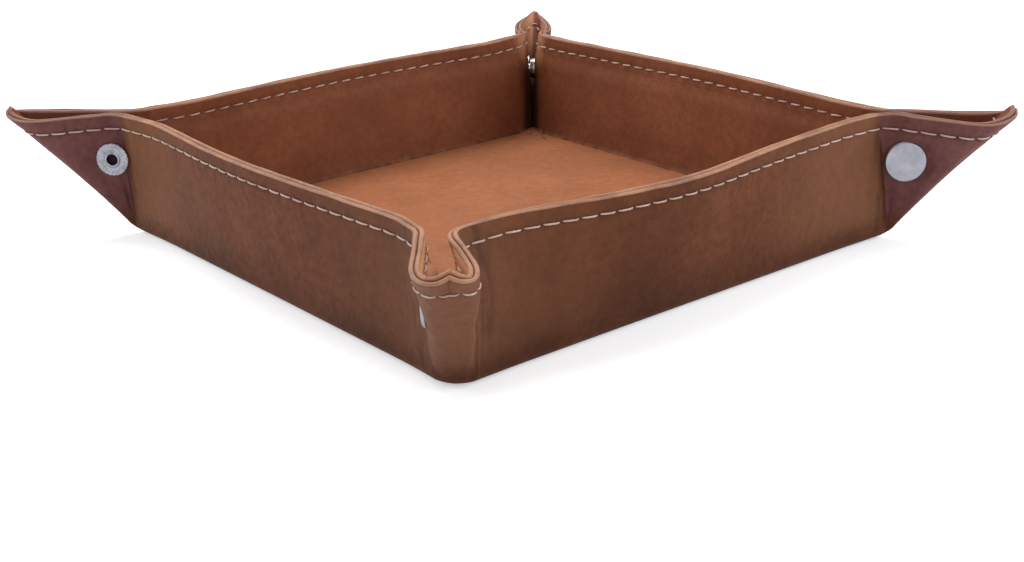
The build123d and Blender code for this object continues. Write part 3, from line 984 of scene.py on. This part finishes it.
def loop_piece(name, columns, kinds, wing, soil, worn):
    """A piece from closed loops of points, one for each column, with a strip of faces at both ends."""
    count, around = columns.shape[:2]
    faces, materials = [], []
    for c in range(count - 1):
        for r in range(around):
            n = (r + 1) % around
            a, b = c * around + r, c * around + n
            faces.append((a, b, b + around, a + around))
            materials.append(kinds[r])
    rim = len(RIM_PROFILE)
    side = (around - rim) // 2
    ends = [(r, around - 1 - r, around - 2 - r, r + 1) for r in range(side - 1)]
    low, high = side + rim // 2 - 1, side + rim // 2
    ends.append((side - 1, around - side, high, low))
    ends += [(low, r + 1, r) for r in range(side - 1, low - 1)]
    ends += [(high, r + 1, r) for r in range(high + 1, around - side)]
    for c, order in ((0, 1), (count - 1, -1)):
        faces += [tuple(c * around + r for r in face[::order]) for face in ends]
        materials += [1] * len(ends)
    faces = [face[::-1] for face in faces]
    points = columns.reshape(-1, 3)
    # the marks carry the wings' painted purple-brown shade, painted shade with some dirt, and painted light
    marks = {"wing": wing.reshape(-1), "soil": soil.reshape(-1), "worn": worn.reshape(-1)}
    return make_object(name, points, faces, materials, (OUTER, EDGE, LINING), marks)


def stitches(sides, own, length):
    """Stitches on both sides of the leather: own has each one's number and place along the seam.

    Each side has its direction, a row of points, where the leather faces there and a stitch's length.
    """
    points, faces = [], []
    around = np.linspace(0, 2 * math.pi, STITCH_SIDES, endpoint=False)[:, None]
    for direction, line, facing, span in sides:
        for index, place in own:
            at = np.linspace(max(place - span / 2, 0), min(place + span / 2, length[-1]), STITCH_ROWS)
            part = (at - place) / (span / 2)
            row, up = (np.stack([np.interp(at, length, c) for c in grid.T], -1) for grid in (line, facing))
            up = unit(up)
            cross = np.cross(unit(np.gradient(row, axis=0)), up)
            slant = STITCH_SLANT[0] * noise.noise(Vector((index * 0.7, direction * 3.1, 0)))
            row = row + cross * (part * (slant + STITCH_SLANT[1] * direction))[:, None]
            height = STITCH_RISE * (1 - abs(part) ** 5) - STITCH_DIVE * abs(part) ** 5
            row = row + up * height[:, None]
            size = THREAD_RADIUS * (1.04 - 0.5 * abs(part) ** 4)
            first = len(points)
            for centre, out, high, radius in zip(row, cross, up, size):
                points += list(centre + (out * np.cos(around) + high * np.sin(around) * 0.85) * radius)
            for a in range(first, len(points) - STITCH_SIDES):
                b = a + 1 if (a - first + 1) % STITCH_SIDES else a + 1 - STITCH_SIDES
                faces.append((a, b, b + STITCH_SIDES, a + STITCH_SIDES))
            faces.append(tuple(range(first, first + STITCH_SIDES))[::-1])
            faces.append(tuple(range(len(points) - STITCH_SIDES, len(points))))
    return np.array(points), faces


def fold_zone(turn, end):
    """Where the sheet bends from a wall into its wing, as the ends of a blend."""
    start = np.array([end * (HALF_SIDE - FOLD_START), 0, SNAP_HEIGHT])
    stop = start + FOLD_SPAN * np.array([end, 0, FOLD_LEAN])
    return [tuple(to_tray(point, turn) * MM) for point in (start, stop)]


def floor_zone(turn):
    """Where the sheet bends from the floor into a wall, as the ends of a blend."""
    start = np.array([0, -FLOOR_FOLD / ROOT2, -FLOOR_FOLD / ROOT2])
    return [tuple(to_tray(point, turn) * MM) for point in (start, -start)]


strips = {wall: shape_strip(wall) for wall in WALLS}

for turn, wall in enumerate(WALLS):
    strip = strips[wall]
    left, right = strip["borders"]
    body = f"{wall}_wall"
    wing_rows = slice(FOOT_ROWS, -FOOT_ROWS)
    parts = (
        (body, 0, slice(left, right + 1), slice(None)),
        (f"{body}_left_wing", -1, slice(0, left + 1), wing_rows),
        (f"{body}_right_wing", 1, slice(right, None), wing_rows),
    )
    for owner, end, across, rows in parts:
        points = to_tray(strip["columns"][across, rows], turn)
        looks = (look[across, rows] for look in strip["looks"])
        piece = loop_piece(f"{owner}_leather", points, strip["kinds"][rows], *looks)
        if owner == body:
            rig.blend(piece, "floor", body, *floor_zone(turn))
            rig.replaces(piece, f"{body}_outer_skin", f"{body}_lining", f"{body}_board")
        else:
            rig.blend(piece, body, owner, *fold_zone(turn, end))
            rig.replaces(piece, f"{owner}_outer_skin", f"{owner}_lining")
        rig.slot(piece, "outer_skin")

    # Stitches on both faces
    line = to_tray(strip["outer_line"], turn)
    facing = to_tray(strip["outer_tips"], turn) - line
    inner_line = to_tray(strip["inner_line"], turn)
    sides = ((1, line, facing, STITCH_LENGTH), (-1, inner_line, -facing, INNER_STITCH_LENGTH))
    low, high = strip["length"][left], strip["length"][right]
    for owner, end, _, _ in parts:
        sector = (strip["marks"] > high).astype(int) - (strip["marks"] < low)
        own = [(n, mark) for n, mark in enumerate(strip["marks"]) if sector[n] == end]
        points, faces = stitches(sides, own, strip["length"])
        piece = make_object(f"{owner}_seam", points, faces, [0] * len(faces), (THREAD,))
        if owner == body:
            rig.ride(piece, body)
        else:
            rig.blend(piece, body, owner, *fold_zone(turn, end))


# The floor: an underside, the rounded feet of the corners and the lining on top


def square_side(x):
    """One side of a clean square inside the lining's edge, with a place for each column of a strip."""
    first, last = int(np.argmax(x > -CLEAN_SPAN)), int(np.argmax(x > CLEAN_SPAN))
    places = x.copy()
    places[: first + 1] = np.linspace(-CLEAN_SQUARE, x[first], first + 1)
    places[last:] = np.linspace(x[last], CLEAN_SQUARE, len(x) - last)
    out = np.full_like(places, CLEAN_SQUARE - HALF_SIDE)
    return np.stack([places, out, np.zeros_like(places)], -1)


def floor_piece():
    """The floor's underside and top, and the feet and fillets of the corners round it."""
    columns, clean = [], []
    for turn, wall in enumerate(WALLS):
        left, right = strips[wall]["borders"]
        whole = strips[wall]["columns"]
        clean.append(to_tray(square_side(whole[:, -1, 0]), turn)[:-1])
        rows = np.concatenate([whole[:-1, : FOOT_ROWS + 1], whole[:-1, -FOOT_ROWS - 1 :]], 1)
        base = rows[left + 1 : right, :1]
        inside = base * (1, 0, 0) + (0, UNDER_LINING, FLOOR_TOP)
        rows[left + 1 : right] = base + (inside - base) * np.linspace(0, 1, rows.shape[1])[:, None]
        columns.append(to_tray(rows, turn))
    columns, clean = np.concatenate(columns), np.concatenate(clean)
    count, height = columns.shape[:2]
    points = [columns.reshape(-1, 3)]
    faces, kinds = [], []
    for c in range(count):
        for r in range(height - 1):
            a, b = c * height + r, (c + 1) % count * height + r
            faces.append((a, b, b + 1, a + 1))
            kinds.append(0 if r < FOOT_ROWS else 2)
    total = count * height
    for row, level, kind in ((height - 1, FLOOR_TOP, 3), (0, 0.0, 0)):
        order = 1 if kind == 3 else -1
        before = [c * height + row for c in range(count)]
        for share in RING_SHARES:
            ring = clean * share
            ring[:, 2] = level
            if kind == 3:
                ring[:, 2] += lumps("floor", ring) * (1 - share) ** 0.3
            points.append(ring)
            here = list(range(total, total + count))
            total += count
            for c in range(count):
                n = (c + 1) % count
                faces.append((before[c], before[n], here[n], here[c])[::order])
            before = here
        points.append(np.array([[0, 0, level]]))
        faces += [(before[c], before[(c + 1) % count], total)[::order] for c in range(count)]
        kinds += [kind] * count * (len(RING_SHARES) + 1)
        total += 1
    points = np.concatenate(points)
    marks = {label: np.zeros(len(points)) for label in ("wing", "soil", "worn")}
    # painted shade on the foot's rounding, darker towards the underside
    around = marks["soil"][: count * height].reshape(count, height)
    around[:, :FOOT_ROWS] = FOOT_SHADE
    around[:, FOOT_ROWS] = FOOT_SHADE[-1]
    return make_object("floor_leather", points, faces, kinds, (OUTER, EDGE, LINING, FLOOR), marks)


floor = floor_piece()
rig.ride(floor, "floor")
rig.replaces(floor, "floor_outer_skin", "floor_lining", "floor_board")
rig.slot(floor, "lining")


# Snaps


def turned(name, outline, steps, place, materials, ripple=None, hollow=0):
    """A turned piece: an outline of radius and height spun about the local Z of a placing matrix.

    The outline's first stretches, as many as hollow says, and its first end take the second material.
    """
    points, faces = [], []
    count = len(outline)
    for step in range(steps):
        angle = 2 * math.pi * step / steps
        for index, (radius, height) in enumerate(outline):
            if ripple:
                radius, height = ripple(index, angle, radius, height)
            spot = radius * math.cos(angle), radius * math.sin(angle), height
            points.append(tuple(place @ Vector(spot)))
        for index in range(count - 1):
            a, b = step * count + index, (step + 1) % steps * count + index
            faces.append((a, b, b + 1, a + 1))
    faces.append(tuple(step * count for step in range(steps))[::-1])
    faces.append(tuple(step * count + count - 1 for step in range(steps)))
    kinds = [int(index < hollow) for index in range(count - 1)] * steps + [int(hollow > 0), 0]
    return make_object(name, np.array(points), faces, kinds, materials)


def snap_place(turn, end):
    """The snap's own frame: its Z points out through the wing half at this end of the wall."""
    along, across = np.array([end, 1, 0]) / ROOT2, np.array([-end, 1, 0]) / ROOT2
    middle = np.array([end * HALF_SIDE, 0, SNAP_HEIGHT]) + SNAP_REACH * along
    origin = to_tray(middle, turn)
    axis_x, axis_z = (to_tray(middle + axis, turn) - origin for axis in (along, across))
    return Matrix([*zip(axis_x, np.cross(axis_z, axis_x), axis_z, origin), (0, 0, 0, 1)])


def cap_outline():
    """A low dome with a rolled edge that turns under onto the leather."""
    points = [(0.01, CAP_TOP)]
    for share in (0.2, 0.4, 0.6, 0.75, 0.86, 0.93):
        points.append((CAP_RADIUS * share, CAP_TOP - CAP_DOME * share**2))
    for angle in (75, 50, 25, 0, -25, -50, -70):
        a = math.radians(angle)
        points.append((CAP_RADIUS - 0.5 + 0.5 * math.cos(a), SNAP_FACE + 0.72 + 0.52 * math.sin(a)))
    return points + [(CAP_RADIUS - 0.7, SNAP_FACE - 0.15), (3.0, SNAP_FACE - 0.15)]


def knurl(index, angle, radius, height):
    """Fine radial grooves on the ring's web and edge."""
    if 7 <= index <= 13:
        depth = 0.07 * math.cos(24 * angle)
        return radius + (depth if index > 11 else 0), height + (depth if index < 12 else 0)
    return radius, height


CAP_TOP = SNAP_FACE + 1.62
CAP_DOME = 0.30
# An open ring, radius and height above the leather: a raised hub round the hole, a dished web and a
# knurled edge. Its first stretches are the hole's wall, painted near-black as shade.
RING_OUTLINE = (
    (1.5, 0.1), (1.65, 0.5), (1.75, 0.78), (1.95, 0.92), (2.2, 0.92), (2.4, 0.80), (2.6, 0.56),
    (3.2, 0.46), (3.8, 0.52), (4.2, 0.70), (4.55, 0.86), (4.9, 0.80), (5.15, 0.58), (5.3, 0.3),
    (5.3, 0.05), (5.1, -0.12), (3.0, -0.12),
)
ring_outline = [(radius, SNAP_FACE + height) for radius, height in RING_OUTLINE]

for turn, wall in enumerate(WALLS):
    body = f"{wall}_wall"
    cap = turned(f"{body}_cap", cap_outline(), 72, snap_place(turn, 1), (CAP_METAL,))
    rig.ride(cap, f"{body}_right_wing")
    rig.replaces(cap, f"{body}_snap_cap")
    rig.slot(cap, "snap_cap")

for made in bpy.context.scene.objects:
    name = made.get("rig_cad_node", "")
    if name.endswith(("snap_socket", "snap_stud", "snap_spring")):
        for slot in made.material_slots:
            slot.material = SPRING_METAL if name.endswith("snap_spring") else BRIGHT_METAL

for turn, wall in enumerate(WALLS):
    post = f"{wall}_wall_snap_post"
    metals = RING_METAL, HOLE_SHADE_METAL
    ring = turned(f"{post}_ring", ring_outline, 144, snap_place(turn, -1), metals, knurl, hollow=2)
    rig.ride(ring, f"{wall}_wall_left_wing")
    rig.replaces(ring, post)
    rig.slot(ring, "snap_ring")


# Camera, floor and light

CAMERA_PLACE = Vector((-0.27756, -0.34680, 0.15257))
CAMERA_AZIMUTH = -39.0
CAMERA_ELEVATION = 20.75
CAMERA_ROLL = -1.56
CAMERA_LENS = 52.9
FLOOR_REACH = 6.0
FLOOR_LEVEL = -0.0002
FLOOR_GLOW = 0.45

azimuth, elevation, roll = (math.radians(a) for a in (CAMERA_AZIMUTH, CAMERA_ELEVATION, CAMERA_ROLL))
back = Vector((math.sin(azimuth), -math.cos(azimuth), 0)) * math.cos(elevation)
back.z = math.sin(elevation)
level = Vector((math.cos(azimuth), math.sin(azimuth), 0))
steep = back.cross(level)
right = level * math.cos(roll) + steep * math.sin(roll)
up = steep * math.cos(roll) - level * math.sin(roll)
camera_data = bpy.data.cameras.new("camera")
camera_data.lens = CAMERA_LENS
camera_data.sensor_width = 36
camera = add_object("camera", camera_data)
camera.matrix_world = Matrix((right, up, back)).transposed().to_4x4()
camera.matrix_world.translation = CAMERA_PLACE
bpy.context.scene.camera = camera


def seen_ray(tree):
    """One for camera, glossy and transmitted rays."""
    rays = node(tree, "ShaderNodeLightPath").outputs
    most = rays["Is Camera Ray"]
    for name in ("Is Glossy Ray", "Is Transmission Ray"):
        most = node(tree, "ShaderNodeMath", most, rays[name], operation="MAXIMUM").outputs[0]
    return most


def make_floor():
    """A pale sheet under the tray that looks white to the camera and in reflections."""
    material, tree = new_material("pale_floor")
    finish(material, {"Base Color": (0.8, 0.8, 0.8, 1), "Roughness": 0.9})
    strength = node(tree, "ShaderNodeMath", seen_ray(tree), FLOOR_GLOW, operation="MULTIPLY")
    glow = node(tree, "ShaderNodeEmission", Color=(1, 1, 1, 1), Strength=strength.outputs[0])
    both = node(tree, "ShaderNodeAddShader", tree.nodes["Principled BSDF"].outputs[0], glow.outputs[0])
    tree.links.new(both.outputs[0], tree.nodes["Material Output"].inputs["Surface"])
    mesh = bpy.data.meshes.new("pale_floor")
    signs = ((-1, -1), (1, -1), (1, 1), (-1, 1))
    corners = [(x * FLOOR_REACH, y * FLOOR_REACH, FLOOR_LEVEL) for x, y in signs]
    mesh.from_pydata(corners, [], [(0, 1, 2, 3)])
    mesh.materials.append(material)
    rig.stage(add_object("pale_floor", mesh))


make_floor()

world = bpy.data.worlds.new("studio")
bpy.context.scene.world = world
world.use_nodes = True
tree = world.node_tree
background = tree.nodes["Background"]
fill(tree, background.inputs["Color"], (1.0, 0.96, 0.93, 1))
fill(tree, background.inputs["Strength"], 0.46)
seen = node(tree, "ShaderNodeBackground", Color=(1, 1, 1, 1), Strength=1.0)
mix = node(tree, "ShaderNodeMixShader", seen_ray(tree), background.outputs[0], seen.outputs[0])
tree.links.new(mix.outputs[0], tree.nodes["World Output"].inputs["Surface"])


def area_light(name, place, target, size, power, colour):
    data = bpy.data.lights.new(name, "AREA")
    data.shape = "DISK"
    data.size = size
    data.energy = power
    data.color = colour
    made = add_object(name, data)
    made.location = place
    made.rotation_euler = (Vector(target) - Vector(place)).to_track_quat("-Z", "Y").to_euler()


area_light("key", (0.15, 0.45, 1.2), (0, 0, 0), 0.8, 13, (1.0, 0.98, 0.95))
area_light("left_fill", (-0.36, 0.3, 0.26), (-0.1, 0.08, 0.02), 0.3, 0.93, (0.81, 0.91, 1.0))
area_light("right_fill", (0.3, -0.36, 0.26), (0.1, -0.08, 0.02), 0.3, 1.18, (0.86, 0.94, 1.0))
area_light("front_fill", (-0.34, -0.42, 0.3), (0, 0, 0.02), 0.4, 0.4, (1.0, 0.97, 0.95))

bpy.context.scene.view_settings.view_transform = "Standard"

with open("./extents.json", "w") as file:
    json.dump(
        {
            "cad": [list(corner) for corner in cad_box],
            "visual": [list(corner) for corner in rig.bounds()],
        },
        file,
    )
